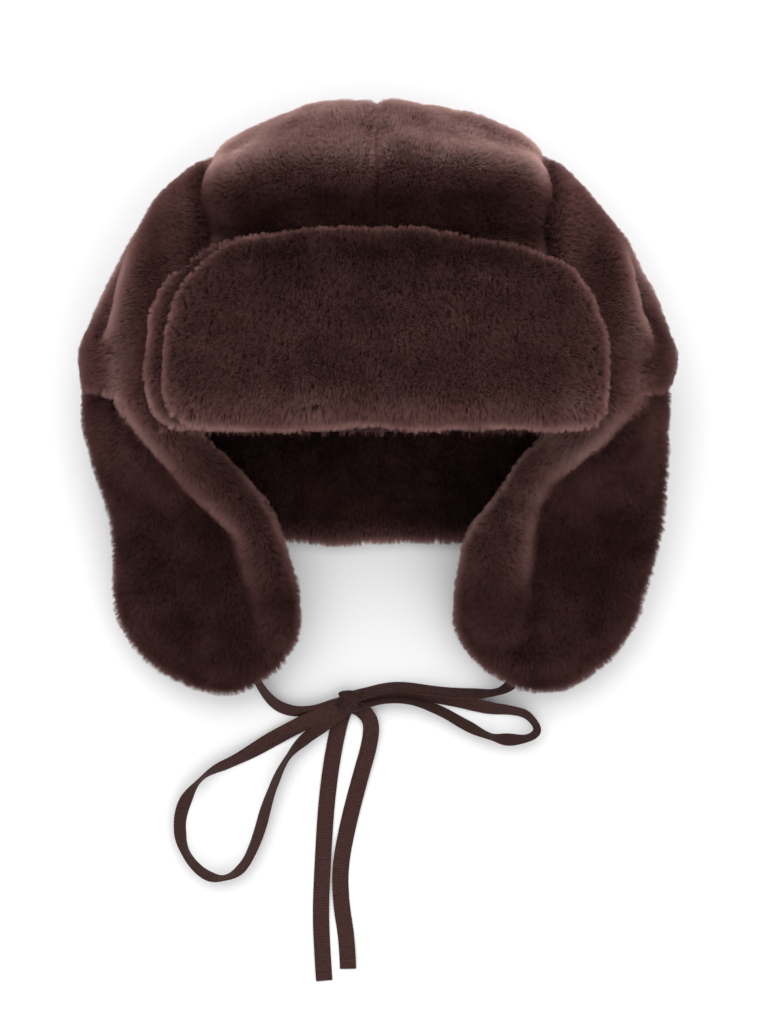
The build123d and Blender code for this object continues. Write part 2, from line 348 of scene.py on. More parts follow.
# ---- materials ---------------------------------------------------------------------------------
class Nodes:
    """Short way to write a node material."""

    def __init__(self, name):
        self.material = bpy.data.materials.new(name)
        self.material.use_nodes = True
        self.tree = self.material.node_tree
        self.shader = self.tree.nodes["Principled BSDF"]

    def feed(self, socket, value):
        if isinstance(value, bpy.types.NodeSocket):
            self.tree.links.new(value, socket)
        else:
            socket.default_value = value

    def add(self, kind, **inputs):
        node = self.tree.nodes.new(kind)
        for key, value in inputs.items():
            self.feed(node.inputs[key.replace("_", " ")], value)
        return node

    def maths(self, operation, *values):
        node = self.tree.nodes.new("ShaderNodeMath")
        node.operation = operation
        for socket, value in zip(node.inputs, values):
            self.feed(socket, value)
        return node.outputs[0]

    def bands(self, vector, direction, pitch):
        """Waves that repeat every pitch along one direction."""
        node = self.add("ShaderNodeTexWave", Vector=vector, Scale=math.tau / pitch / 20)
        node.bands_direction = direction
        return node.outputs["Fac"]

    def nap(self):
        """The pile's painted sheen and shade, with random tone, as written onto the mesh."""
        node = self.tree.nodes.new("ShaderNodeAttribute")
        node.attribute_name = "nap"
        return node.outputs["Fac"]

    def ramp(self, factor, stops):
        node = self.add("ShaderNodeValToRGB", Fac=factor)
        ramp = node.color_ramp
        while len(ramp.elements) < len(stops):
            ramp.elements.new(0.5)
        for element, (place, colour) in zip(ramp.elements, stops):
            element.position = place
            element.color = (*colour, 1.0)
        return node.outputs["Color"]

    def mix(self, factor, low, high):
        node = self.tree.nodes.new("ShaderNodeMix")
        node.data_type = "RGBA"
        self.tree.links.new(factor, node.inputs[0])
        node.inputs[6].default_value = (*low, 1.0)
        self.tree.links.new(high, node.inputs[7])
        return node.outputs[2]

    def place(self, scale):
        """Object coordinates stretched by scale."""
        coords = self.add("ShaderNodeTexCoord").outputs["Object"]
        return self.add("ShaderNodeMapping", Vector=coords, Scale=scale).outputs["Vector"]

    def link(self, output, name):
        self.tree.links.new(output, self.shader.inputs[name])

    def bump(self, height, distance):
        node = self.add("ShaderNodeBump", Height=height, Distance=distance)
        self.link(node.outputs["Normal"], "Normal")

    def surface(self, roughness, specular, sheen=0.0):
        """Set how the surface takes light."""
        self.shader.inputs["Roughness"].default_value = roughness
        self.shader.inputs["Specular IOR Level"].default_value = specular
        self.shader.inputs["Sheen Weight"].default_value = sheen


# Fur colours: the root colour is painted shade deep in the pile and in the skin's hollows; the pale colour is
# a painted sheen.
FUR_ROOT_SHADE = (0.012, 0.0042, 0.0038)
FUR_DEEP = (0.062, 0.0225, 0.0205)
FUR_MID = (0.240, 0.112, 0.102)
FUR_SHEEN = (0.660, 0.440, 0.405)
RIBBON_DARK = (0.020, 0.0072, 0.0062)
RIBBON_LIGHT = (0.064, 0.0285, 0.0245)


def fur_skin_material():
    """The cloth that carries the pile, as far as it shows between the strands."""
    m = Nodes("fur_skin")
    tufts = m.add("ShaderNodeTexNoise", Vector=m.place((260, 120, 260)), Scale=1.0, Detail=4.0).outputs["Fac"]
    # The skin takes the painted sheen and shade, and is painted near black as shade where the tufts' bump is
    # low.
    pale = m.ramp(m.nap(), [(0.0, FUR_ROOT_SHADE), (0.40, FUR_DEEP), (1.0, FUR_MID)])
    m.link(m.mix(tufts, FUR_ROOT_SHADE, pale), "Base Color")
    m.surface(0.85, 0.1)
    m.bump(tufts, 0.0012)
    return m.material


def fur_hair_material():
    """The pile's strands: painted nearly black towards the root as shade inside the pile, and paler and mauve
    where the painted sheen is written.
    """
    m = Nodes("fur_pile")
    info = m.add("ShaderNodeHairInfo")
    # painted sheen and shade at the tip; the fade paints the root end dark as shade inside the pile
    tip = m.ramp(m.nap(), [(0.0, FUR_DEEP), (0.40, FUR_MID), (1.0, FUR_SHEEN)])
    fade = m.ramp(info.outputs["Intercept"], [(0.05, (0.0, 0.0, 0.0)), (0.70, (1.0, 1.0, 1.0))])
    along = m.mix(fade, FUR_ROOT_SHADE, tip)
    change = m.add("ShaderNodeMapRange", Value=info.outputs["Random"])
    change.inputs["To Min"].default_value = 0.85
    change.inputs["To Max"].default_value = 1.2
    varied = m.add("ShaderNodeHueSaturation", Color=along, Value=change.outputs["Result"])
    m.link(varied.outputs["Color"], "Base Color")
    m.surface(0.65, 0.2)
    return m.material


def ribbon_material():
    """Fine ribbed ribbon: crossways ribs, painted lighter on their crests and darker in their grooves as
    shade, over uneven yarn.
    """
    m = Nodes("ribbon_weave")
    cloth = m.add("ShaderNodeUVMap")
    cloth.uv_map = "cloth"
    ribs = m.bands(cloth.outputs["UV"], "Y", RIB_PITCH)
    yarn = m.add("ShaderNodeTexNoise", Vector=m.place((1, 1, 1)), Scale=900.0, Detail=2.0).outputs["Fac"]
    # painted shade: the ribs that raise the bump also darken the colour between them
    shade = m.maths("MULTIPLY_ADD", ribs, 0.35, yarn)
    m.link(m.ramp(shade, [(0.35, RIBBON_DARK), (0.95, RIBBON_LIGHT)]), "Base Color")
    m.surface(0.8, 0.1, 0.04)
    m.bump(ribs, 0.00015)
    return m.material


def woven_material(name, dark, light, threads_per_mm, sheen):
    """Plain woven cloth: warp and weft threads that cross, with uneven yarn."""
    m = Nodes(name)
    where = m.place((1, 1, 1))
    pitch = MM / threads_per_mm
    weave = m.maths("MULTIPLY", m.bands(where, "X", pitch), m.bands(where, "Y", pitch))
    yarn = m.add("ShaderNodeTexNoise", Vector=where, Scale=450.0, Detail=2.0).outputs["Fac"]
    # painted shade: lighter on the thread crossings that the bump raises and darker between them, over uneven
    # yarn
    shade = m.maths("MULTIPLY_ADD", weave, 0.6, yarn)
    m.link(m.ramp(shade, [(0.35, dark), (1.0, light)]), "Base Color")
    m.surface(0.8, 0.2, sheen)
    m.bump(weave, 0.0002)
    return m.material


MATERIALS = {
    "fur": fur_skin_material(),
    "pile": fur_hair_material(),
    "ribbon": ribbon_material(),
    "lining": woven_material("lining_satin", (0.018, 0.010, 0.009), (0.060, 0.031, 0.027), 4.0, 0.06),
    "sweatband": woven_material("sweatband_twill", (0.014, 0.008, 0.007), (0.046, 0.024, 0.021), 2.0, 0.04),
    "wadding": woven_material("wadding_fibre", (0.55, 0.53, 0.50), (0.80, 0.79, 0.76), 1.0, 0.3),
    "interlining": woven_material("interlining_canvas", (0.40, 0.37, 0.33), (0.66, 0.62, 0.56), 1.5, 0.1),
}


def finish_piece(obj, slot, nodes, body=None):
    """Give a piece its material, hide the CAD nodes that it stands for, and attach it to the body it rides
    on.
    """
    obj.data.materials.append(MATERIALS[slot])
    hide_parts(*nodes)
    if body:
        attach(obj, body)
    return obj


def even_painted_light(point):
    """The same level of painted sheen and shade everywhere."""
    return 0.28


def paint_pile_light(mesh, painted_light):
    """Write a painted sheen and shade at each corner, with random patches of tone: lighter where the skin
    tilts away from straight up, and lighter or darker as the given function paints it.
    """
    layer = mesh.color_attributes.new("nap", "BYTE_COLOR", "CORNER")
    for corner, loop in zip(layer.data, mesh.loops):
        vert = mesh.vertices[loop.vertex_index]
        point = vert.co / MM
        # painted sheen where the skin tilts away from straight up; the patches are random tone
        grazing_sheen = smooth(0.15, 0.85, 1 - abs(vert.normal.z))
        patch = 0.7 * fur_noise(point, 30.0, 11.0) + 0.5 * fur_noise(point, 12.0, 5.0)
        value = min(1.0, max(0.0, painted_light(point) + 0.16 * grazing_sheen + 0.15 * patch))
        corner.color = (value, value, value, 1.0)


def grow_pile(obj, seed, painted_light=even_painted_light):
    """Seeded hair over the skin's outer side, combed along the nap, coloured by the painted sheen and shade
    written onto the skin first.
    """
    obj.data.materials.append(MATERIALS["pile"])
    paint_pile_light(obj.data, painted_light)
    mesh = obj.data
    weights = mesh.attributes["pile"]
    group = obj.vertex_groups.new(name="pile_area")
    outer = [i for i, value in enumerate(weights.data) if value.value > 0.5]
    group.add(outer, 1.0, "REPLACE")
    seams = [i for i in outer if weights.data[i].value < 0.9]
    group.add(seams, 0.05, "REPLACE")
    chosen = set(outer)
    area = sum(p.area for p in mesh.polygons if all(v in chosen for v in p.vertices)) * 1e4
    system = obj.modifiers.new("pile", "PARTICLE_SYSTEM").particle_system
    system.seed = seed
    system.vertex_group_density = "pile_area"
    hair = system.settings
    hair.type = "HAIR"
    hair.count = max(50, int(area * HAIRS_PER_CM2 / STRANDS_PER_GUIDE))
    hair.use_advanced_hair = True
    hair.hair_step = 3
    hair.display_step = 2
    hair.render_step = 3
    hair.normal_factor = PILE_LENGTH * MM / 4
    hair.object_align_factor = [c * MM / 4 for c in PILE_COMB]
    hair.factor_random = PILE_SPREAD * MM / 4
    hair.child_type = "INTERPOLATED"
    hair.child_percent = 1
    hair.rendered_child_count = STRANDS_PER_GUIDE
    hair.clump_factor = 0.0
    hair.roughness_1 = 0.0004
    hair.roughness_1_size = 0.005
    hair.roughness_2 = 0.0004
    hair.roughness_2_size = 0.002
    hair.roughness_endpoint = 0.0007
    hair.root_radius = 1.0
    hair.tip_radius = 0.2
    hair.radius_scale = STRAND_RADIUS * MM
    hair.material_slot = mesh.materials[-1].name
    return obj


# ---- camera ------------------------------------------------------------------------------------
CAMERA_HEIGHT = 1.2          # metres
CAMERA_LENS = 73.8
CAMERA_ASIDE = (0.0037, 0.0200)   # where it looks, from the middle of the CAD box


def make_camera():
    """Straight above the object, as far as a person holds a camera over a table."""
    middle = [(low + high) / 2 for low, high in zip(*cad_box)]
    camera = bpy.data.objects.new("camera", bpy.data.cameras.new("camera"))
    camera.location = (middle[0] + CAMERA_ASIDE[0], middle[1] + CAMERA_ASIDE[1], CAMERA_HEIGHT)
    camera.data.lens = CAMERA_LENS
    camera.data.sensor_width = 36.0
    camera.data.clip_start = 0.05
    bpy.context.scene.collection.objects.link(camera)
    bpy.context.scene.camera = camera


# ---- ribbons -----------------------------------------------------------------------------------
FLAT = 0.0008                # height of a ribbon's middle line where it lies on the surface, metres
LEFT_ROUTE = [
    (-0.0684, -0.1600, 0.0125), (-0.0620, -0.1728, 0.0045), (-0.0495, -0.1794, FLAT),
    (-0.0346, -0.1779, FLAT), (-0.0209, -0.1731, 0.0016), (-0.0120, -0.1740, 0.0030),
    (-0.0209, -0.1769, 0.0034), (-0.0335, -0.1812, 0.0036), (-0.0558, -0.1924, 0.0022),
    (-0.0780, -0.2056, FLAT),
    (-0.1010, -0.2154, FLAT), (-0.1135, -0.2360, FLAT), (-0.1115, -0.2590, FLAT), (-0.0955, -0.2755, FLAT),
    (-0.0780, -0.2715, FLAT), (-0.0683, -0.2520, FLAT), (-0.0618, -0.2270, FLAT), (-0.0515, -0.2035, FLAT),
    (-0.0366, -0.1906, 0.0015), (-0.0214, -0.1790, 0.0026), (-0.0150, -0.1735, 0.0030),
    (-0.0203, -0.1792, FLAT), (-0.0256, -0.2035, FLAT), (-0.0293, -0.2320, FLAT), (-0.0312, -0.2635, FLAT),
    (-0.0325, -0.2920, FLAT), (-0.0318, -0.3132, FLAT), (-0.0304, -0.3333, FLAT),
]
RIGHT_ROUTE = [
    (0.0770, -0.1610, 0.0125), (0.0710, -0.1675, 0.0040), (0.0595, -0.1692, FLAT), (0.0360, -0.1682, FLAT),
    (0.0095, -0.1640, FLAT), (-0.0107, -0.1696, FLAT), (-0.0190, -0.1720, 0.0040),
    (-0.0107, -0.1726, 0.0036), (0.0150, -0.1684, 0.0040), (0.0425, -0.1720, 0.0042),
    (0.0620, -0.1770, 0.0040), (0.0770, -0.1782, 0.0030), (0.0853, -0.1804, FLAT), (0.0913, -0.1876, FLAT),
    (0.0903, -0.1920, FLAT), (0.0835, -0.1950, FLAT), (0.0675, -0.1950, FLAT), (0.0505, -0.1870, FLAT),
    (0.0335, -0.1768, 0.0019), (0.0105, -0.1708, 0.0026), (-0.0107, -0.1746, 0.0026),
    (-0.0170, -0.1755, 0.0036), (-0.0109, -0.1765, 0.0036), (-0.0034, -0.1834, 0.0036),
    (-0.0039, -0.1960, FLAT), (-0.0098, -0.2165, FLAT), (-0.0164, -0.2415, FLAT), (-0.0216, -0.2680, FLAT),
    (-0.0208, -0.2900, FLAT), (-0.0174, -0.3095, FLAT), (-0.0168, -0.3270, FLAT),
]
# how far the ribbon tips towards its edge along its length, as (share of length, degrees)
LEFT_TILT = [
    (0.0, 60), (0.05, 40), (0.085, 52), (0.11, 50), (0.15, -12), (0.22, -18), (0.28, -52), (0.312, -78),
    (0.345, -42), (0.375, -50), (0.40, -70), (0.435, -66), (0.452, -80), (0.475, -58), (0.53, -48),
    (0.575, -62), (0.605, -74), (0.635, -50), (0.66, -25), (0.70, 5), (0.78, 0), (0.90, 6), (1.0, -4),
]
RIGHT_TILT = [
    (0.0, 50), (0.03, 72), (0.06, 54), (0.12, 56), (0.17, 60), (0.20, 52), (0.26, 50), (0.32, 38),
    (0.37, 38), (0.41, 55), (0.435, 66), (0.455, 72), (0.48, 52), (0.50, 76), (0.53, 56), (0.57, 58),
    (0.60, 68), (0.64, 62), (0.68, 20), (0.74, 12), (0.80, 6), (0.88, -8), (1.0, 6),
]


def route_points(route):
    """Points along the smooth line that a ribbon's route controls."""
    curve = bpy.data.curves.new("route", "CURVE")
    curve.dimensions = "3D"
    curve.resolution_u = 16
    spline = curve.splines.new("NURBS")
    spline.points.add(len(route) - 1)
    for point, place in zip(spline.points, route):
        point.co = (*place, 1.0)
    spline.order_u = 3
    spline.use_endpoint_u = True
    holder = bpy.data.objects.new("route", curve)
    bpy.context.scene.collection.objects.link(holder)
    bpy.context.view_layer.update()
    mesh = bpy.data.meshes.new_from_object(holder.evaluated_get(bpy.context.evaluated_depsgraph_get()))
    points = [v.co.copy() for v in mesh.vertices]
    bpy.data.objects.remove(holder)
    return points


def resample(points, step):
    """The same line with points a step apart."""
    result = [points[0].copy()]
    left = step
    for a, b in zip(points, points[1:]):
        run = (b - a).length
        while run >= left:
            a = a.lerp(b, left / run)
            run -= left
            left = step
            result.append(a.copy())
        left -= run
    return result


def table_value(table, share):
    """Value of a table of (share, value) pairs at share, smooth between the pairs."""
    for (sa, va), (sb, vb) in zip(table, table[1:]):
        if share <= sb:
            return lerp(va, vb, smooth(sa, sb, share))
    return table[-1][1]


def make_ribbon(side, route, tilts, seed):
    """Flat woven ribbon with a ribbed face and a toothed selvedge, tipped along its length."""
    line = [p / MM for p in resample(route_points(route), RIB_PITCH * MM)]
    count = len(line)
    tangents = [(line[min(i + 3, count - 1)] - line[max(i - 3, 0)]).normalized() for i in range(count)]
    bm = bmesh.new()
    uv = bm.loops.layers.uv.new("cloth")
    across_steps = (-1.0, -0.94, -0.5, 0.0, 0.5, 0.94, 1.0)
    centres, rings = [], []
    for i, (point, tangent) in enumerate(zip(line, tangents)):
        share = i / (count - 1)
        tilt = math.radians(table_value(tilts, share) + 7 * noise.noise(Vector((share * 9, seed, 0))))
        side_way = Vector((0, 0, 1)).cross(tangent).normalized()
        up = tangent.cross(side_way)
        across = side_way * math.cos(tilt) + up * math.sin(tilt)
        face = tangent.cross(across).normalized()
        half = RIBBON_WIDTH / 2 - (SELVEDGE_TOOTH if i % 2 else 0.0)
        lift = max(0.0, abs(math.sin(tilt)) * half + RIBBON_THICKNESS / 2 + 0.1 - point.z)
        centre = point + Vector((0, 0, lift))
        centres.append(centre)
        rib = RIB_HEIGHT if i % 2 else -RIB_HEIGHT
        cup = 0.5 * noise.noise(Vector((share * 14, seed + 5, 0)))
        ring = []
        for side_sign in (1, -1):
            for step in across_steps[::side_sign]:
                thick = RIBBON_THICKNESS / 2 * (0.55 if abs(step) == 1.0 else 1.0) + rib * (abs(step) < 0.9)
                ring.append(bm.verts.new(centre + across * half * step
                                         + face * (side_sign * thick + cup * (1 - step * step))))
        rings.append(ring)
    size = len(rings[0])
    for i, (a, b) in enumerate(zip(rings, rings[1:])):
        for k in range(size):
            n = (k + 1) % size
            face = bm.faces.new([a[k], a[n], b[n], b[k]])
            for loop, (s, t) in zip(face.loops, ((k, i), (k + 1, i), (k + 1, i + 1), (k, i + 1))):
                loop[uv].uv = (s / size, t * RIB_PITCH)
    bm.faces.new(list(reversed(rings[0])))
    bm.faces.new(rings[-1])
    obj = new_object(f"ribbon_{side}", bm)
    nodes = [f"ribbon_{side}_{part}" for part in ("lead", "loop", "tail")]
    finish_piece(obj, "ribbon", nodes, "left_ear_flap")
    path = [c * MM for c in centres[::4]] + [centres[-1] * MM]
    length = sum((b - a).length for a, b in zip(path, path[1:]))
    return obj, path, length


def make_knot():
    """The bow's knot: one turn of ribbon pulled tight round the crossing, with gathered folds."""
    low, high = node_box("bow_knot")
    middle = Vector([(a + b) / 2 for a, b in zip(low, high)]) + Vector((0, 0.6, 1.2))
    half = Vector([(b - a) / 2 for a, b in zip(low, high)])
    bm = bmesh.new()
    turns, rows = 64, 28
    grid = []
    for i in range(turns):
        angle = math.tau * i / turns
        row = []
        for j in range(rows + 1):
            t = 2 * j / rows - 1
            end = math.sqrt(max(0.0, 1 - abs(t) ** 5))
            folds = 1 + 0.10 * math.sin(9 * t + 2.2 * math.sin(angle) + 0.6)
            pinch = 1 - 0.20 * bell(t + 0.15 * math.cos(angle), 0.22)
            x = 1.08 * half[0] * math.cos(angle) * end * folds * pinch
            z = 1.25 * half[2] * math.sin(angle) * end * folds
            lean = 0.22 * math.sin(angle)
            row.append(bm.verts.new(middle + Vector((x + lean, half[1] * t, z))))
        grid.append(row)
    for a, b in zip(grid, grid[1:] + grid[:1]):
        for j in range(rows):
            bm.faces.new([a[j], a[j + 1], b[j + 1], b[j]])
    bmesh.ops.remove_doubles(bm, verts=bm.verts, dist=0.01)
    obj = new_object("bow_knot_wrap", bm)
    return finish_piece(obj, "ribbon", ["bow_knot"], "left_ear_flap")


def make_ties():
    knot = make_knot()
    sides = (("left", LEFT_ROUTE, LEFT_TILT, 1.0), ("right", RIGHT_ROUTE, RIGHT_TILT, 4.0))
    for side, route, tilts, seed in sides:
        ribbon, path, length = make_ribbon(side, route, tilts, seed)
        tuple(path[0])
        [tuple(p) for p in path]


# ---- crown -------------------------------------------------------------------------------------
ROLL_Y, ROLL_HEIGHT = 118.0, 9.0        # the fur rolls forward here, above the visor
VALLEY_Y, VALLEY_DEPTH = 86.0, 3.5      # and sinks here, between the roll and the visor
SIDE_SEAM_DEPTH = 3.8
CENTRE_SEAM_DEPTH = 4.0
FOLD_HEIGHT, FOLD_DEPTH = 3.0, 4.5      # a fold down each side panel, and the groove beside it
DENT_X, DENT_Y, DENT_DEPTH = 112.0, 62.0, 2.2
LOBE_HEIGHT = 1.5                       # fullness at the lower corners
TUCK = 13.0                             # how far the panels' lower edge rises at the sides


def crown_relief(point):
    """Seams, rolls and folds of the crown's fur, outwards in millimetres."""
    x, y, z = point
    aside = abs(x)
    front = smooth(40, 70, z)
    in_panel = min(1.0, aside / SIDE_SEAM_X)
    amount = soft_relief(point) - (PILE_DEPTH - 2.0)
    amount -= SIDE_SEAM_DEPTH * bell(aside - SIDE_SEAM_X, 5.0)
    amount -= CENTRE_SEAM_DEPTH * bell(x, 2.8)
    if in_panel < 1.0:
        rolled = ROLL_HEIGHT * bell(y - ROLL_Y, 18) - VALLEY_DEPTH * bell(y - VALLEY_Y, 12)
        amount += smooth(62, 84, z) * rolled
        amount -= 1.2 * bell(in_panel - 0.62, 0.28) * smooth(112, 140, y) * smooth(80, 60, z)
    amount += 1.6 * fur_noise(point, 26.0, 14.0)
    fold = (aside - lerp(150, 141, (y - 26) / 41)) * 0.9
    folded = front * smooth(12, 34, y) * smooth(88, 66, y)
    amount += folded * (FOLD_HEIGHT * bell(fold + 9, 8) - FOLD_DEPTH * bell(fold, 5))
    dent = Vector((aside - DENT_X, (y - DENT_Y) * 0.45)).length
    amount -= front * DENT_DEPTH * bell(dent, 14)
    corner = Vector((aside - section_at(y)[0], y - 12, (z - 52) * 0.5)).length
    return amount + LOBE_HEIGHT * bell(corner, 22)


def crown_painted_light(point):
    """Painted light on the crown's pile: sheen on the roll, its shoulders and the side folds; shade in the
    valley under the roll, along the seams, in the dents and low on the outer sides.
    """
    x, y, _ = point
    value = 0.33 - 0.25 * bell(abs(x) - SIDE_SEAM_X, 4.0)
    if abs(x) < SIDE_SEAM_X:
        roll = smooth(100, 125, y)
        value += 0.36 * roll - 0.30 * (1 - roll) * smooth(70, 86, y)
        value += 0.16 * bell(abs(x) - 82, 8) * smooth(80, 98, y)
        value -= 0.40 * bell(x, 3.0)
    else:
        value += 0.07 + 0.16 * bell(abs(x) - 139, 9) * smooth(88, 66, y) - 0.14 * bell(abs(x) - 116, 14)
        value -= 0.24 * smooth(136, 150, abs(x)) * smooth(50, 28, y)
    return value


def crown_surface(inset, relief, cell=CELL):
    """Open surface of the crown from rim to tip, as a bmesh with its faces outwards."""
    reach = (CROWN_TOP_Y - WIDEST_Y) / TIP_FRACTION - inset
    straight = int((WIDEST_Y - RIM_Y) / cell)
    domed = int(1.5 * reach / cell)
    stations = [lerp(RIM_Y, WIDEST_Y, j / straight) for j in range(straight)]
    stations += [WIDEST_Y + (reach - 2.0) * math.sin(math.pi / 2 * j / domed) for j in range(domed)]
    columns = int(2 * math.pi * 0.5 * (HALF_WIDTH + CROWN_DEPTH / 2) / cell)
    bm = bmesh.new()
    grid = []
    for y in stations:
        half_width, half_depth, middle = section_at(y, inset)
        row = []
        for i in range(columns):
            angle = math.tau * i / columns
            c, s = math.cos(angle), math.sin(angle)
            power = 2.0 if s > 0 else BACK_POWER
            x = half_width * math.copysign(abs(c) ** (2 / power), c)
            row.append(bm.verts.new((x, y, middle + half_depth * math.copysign(abs(s) ** (2 / power), s))))
        grid.append(row)
    for low, high in zip(grid, grid[1:]):
        for i in range(columns):
            k = (i + 1) % columns
            bm.faces.new([low[i], high[i], high[k], low[k]])
    tip = bm.verts.new((0, WIDEST_Y + reach, section_at(WIDEST_Y + reach, inset)[2]))
    for i in range(columns):
        bm.faces.new([grid[-1][i], tip, grid[-1][(i + 1) % columns]])
    displace(bm, relief)
    return bm


def keep_between(bm, axis, low, high):
    """Cut a bmesh down to what lies between two places along an axis."""
    for place, away in ((low, -1), (high, 1)):
        if place is None:
            continue
        normal = [0, 0, 0]
        normal[axis] = away
        centre = [0, 0, 0]
        centre[axis] = place
        geometry = bm.verts[:] + bm.edges[:] + bm.faces[:]
        bmesh.ops.bisect_plane(bm, geom=geometry, dist=0.001, plane_co=centre, plane_no=normal,
                               clear_outer=True)


def bare_seams(bm):
    """Thin the pile out along the seams between the crown panels."""
    layer = bm.verts.layers.float["pile"]
    for vert in bm.verts:
        if abs(vert.co.x) < 1.0 or abs(abs(vert.co.x) - SIDE_SEAM_X) < 0.5:
            vert[layer] *= SEAM_MARK


CROWN_PANELS = {
    "crown_side_left": (None, -SIDE_SEAM_X),
    "crown_centre_left": (-SIDE_SEAM_X, 0.0),
    "crown_centre_right": (0.0, SIDE_SEAM_X),
    "crown_side_right": (SIDE_SEAM_X, None),
}


def make_crown():
    """Four fur panels, and the bands at the face and the nape."""
    surface = crown_surface(FUR_INSET, crown_relief)
    for number, (node, (low, high)) in enumerate(CROWN_PANELS.items()):
        bm = surface.copy()
        keep_between(bm, 0, low, high)
        keep_between(bm, 1, BAND_TOP_Y, None)
        for vert in bm.verts:
            tuck = smooth(112, 160, abs(vert.co.x)) * smooth(38, BAND_TOP_Y, vert.co.y)
            vert.co.y += TUCK * tuck
        close_shell(bm, 2.2)
        bare_seams(bm)
        panel = finish_piece(new_object(f"{node}_fur", bm), "fur", [node], "crown")
        grow_pile(panel, seed=10 + number, painted_light=crown_painted_light)
    bands = (("front_band", 112.0, CROWN_DEPTH / 2, None), ("nape_band", SIDE_BAND_X, None, CROWN_DEPTH / 2))
    for number, (node, reach, low, high) in enumerate(bands):
        bm = surface.copy()
        keep_between(bm, 1, None, BAND_TOP_Y)
        keep_between(bm, 0, -reach, reach)
        keep_between(bm, 2, low, high)
        close_shell(bm, 3.0)
        band = finish_piece(new_object(f"{node}_fur", bm), "fur", [node], "crown")
        grow_pile(band, seed=20 + number)
    surface.free()


def quilted(point):
    """Small puckers of a lining sewn to its wadding."""
    rows = abs(math.sin(math.pi * point[0] / 30)) ** 0.5
    return 0.9 * rows + 0.9 * fur_noise(point, 9.0) + 0.8 * fur_noise(point, 30.0, 2.0) - 0.8


def make_inside():
    """Wadding, three lining panels and the sweatband, inside the fur."""
    def under_fur(point):
        return max(-3.0, min(0.0, crown_relief(point) + PILE_DEPTH - 2.0))

    wadding = crown_surface(WADDING_INSET, under_fur, cell=4.0)
    keep_between(wadding, 1, WIDEST_Y, None)
    close_shell(wadding, 1.4)
    finish_piece(new_object("crown_wadding_pad", wadding), "wadding", ["crown_wadding"], "crown")
    surface = crown_surface(LINING_INSET, quilted, cell=3.5)
    linings = (
        ("lining_side_left", None, -SIDE_SEAM_X),
        ("lining_centre", -SIDE_SEAM_X, SIDE_SEAM_X),
        ("lining_side_right", SIDE_SEAM_X, None),
    )
    for node, low, high in linings:
        bm = surface.copy()
        keep_between(bm, 0, low, high)
        close_shell(bm, 1.2)
        finish_piece(new_object(f"{node}_cloth", bm), "lining", [node], "crown")
    surface.free()
    bm = crown_surface(SWEATBAND_INSET, lambda p: 0.5 * fur_noise(p, 20.0), cell=3.5)
    keep_between(bm, 1, None, node_box("sweatband")[1][1])
    close_shell(bm, 1.5)
    finish_piece(new_object("sweatband_tape", bm), "sweatband", ["sweatband"], "crown")


# ---- visor -------------------------------------------------------------------------------------
VISOR_FRONT = [
    (108, -17.5), (116, -8), (118, 12), (113.5, 36), (101, 58), (70, 72), (24, 81), (-36, 81.5),
    (-74, 74), (-97, 57), (-107, 31), (-107.5, 0), (-104, -12), (-92, -18), (-50, -19.5), (40, -19.5),
]
VISOR_BACK = [
    (102, -16), (112, -6), (112, 26), (94, 58), (62, 70), (20, 78), (-40, 80), (-84, 75),
    (-109, 55), (-117.5, 27), (-116.5, -4), (-111, -14), (-98, -18), (-50, -18), (40, -18),
]


def visor_painted_light(point):
    """Painted light on the visor's pile: sheen along its lower edge and across its middle, shade below its
    upper edge.
    """
    y = point[1]
    return 0.23 + 0.17 * smooth(14, -12, y) + 0.08 * bell(y - 30, 18) - 0.10 * smooth(52, 70, y)


def make_visor():
    """Two padded fur layers and the interlining between them."""
    sag = VISOR_TOP_Z - CROWN_DEPTH

    def front_top(x, y):
        roll = 2.5 * bell(y + 4, 14) + 1.5 * bell(y - 66, 14)
        return crown_z(x, y) + sag - 4.6 + roll + 1.2 * fur_noise((x, y, 0), 38.0, 9.0)

    layers = (
        ("visor_front", VISOR_FRONT, front_top, over_crown(11.4), 11.0, 31),
        ("visor_back", VISOR_BACK, over_crown(8.6), over_crown(2.0), 5.0, 32),
    )
    for node, outline, top, bottom, roundness, seed in layers:
        bm = pillow(outline, top, bottom, roundness)
        displace(bm, soft_relief)
        piece = finish_piece(inflate(new_object(f"{node}_fur", bm), 1.2), "fur", [node], "visor")
        grow_pile(piece, seed=seed, painted_light=visor_painted_light)
    make_pad("visor_interlining_pad", "visor_interlining", "interlining", drawn_in(VISOR_BACK, 12.0),
             over_crown(10.4), over_crown(9.4), "visor")


# ---- ear flaps ---------------------------------------------------------------------------------
LEFT_FLAP = [
    (-158, 14), (-156, -28), (-147, -72), (-144, -112), (-136, -135), (-120, -153), (-97, -162.5),
    (-73, -161.5), (-54, -149.5), (-45, -131), (-46, -108), (-54.5, -82), (-65, -60), (-84, -36),
    (-97, -20), (-106, 12), (-132, 24),
]
RIGHT_FLAP = [
    (155, 13), (160, -28), (159, -58), (154, -91), (143.5, -124), (128, -146), (103, -161.5),
    (80, -160), (60, -149.5), (47.5, -131), (46.5, -112), (52, -82), (64, -60), (80, -36), (96, -20),
    (106, 12), (132, 24),
]
LEFT_CREASE = [(-141, -5), (-123, -26), (-98, -53), (-77, -75), (-68, -114), (-66, -140)]
RIGHT_CREASE = [(141, -3), (120, -26), (97, -42), (87, -58), (83, -92), (80, -130)]
FLAP_PLY = 24.0              # both fur layers and the wadding
FLAP_TIP_Z = 27.0
FLAP_ROOT_UNDER_Z = 17.0     # the underside stands off the surface at the root
REST_Z = 1.2                 # skin of the lowest fur, whose pile is pressed on the surface
MOUND_X, MOUND_HEIGHT = 118.0, 37.0     # the flap rises to the crown's front at its root
STRIP_HEIGHT = 8.5           # rolled front strip, beyond the crease


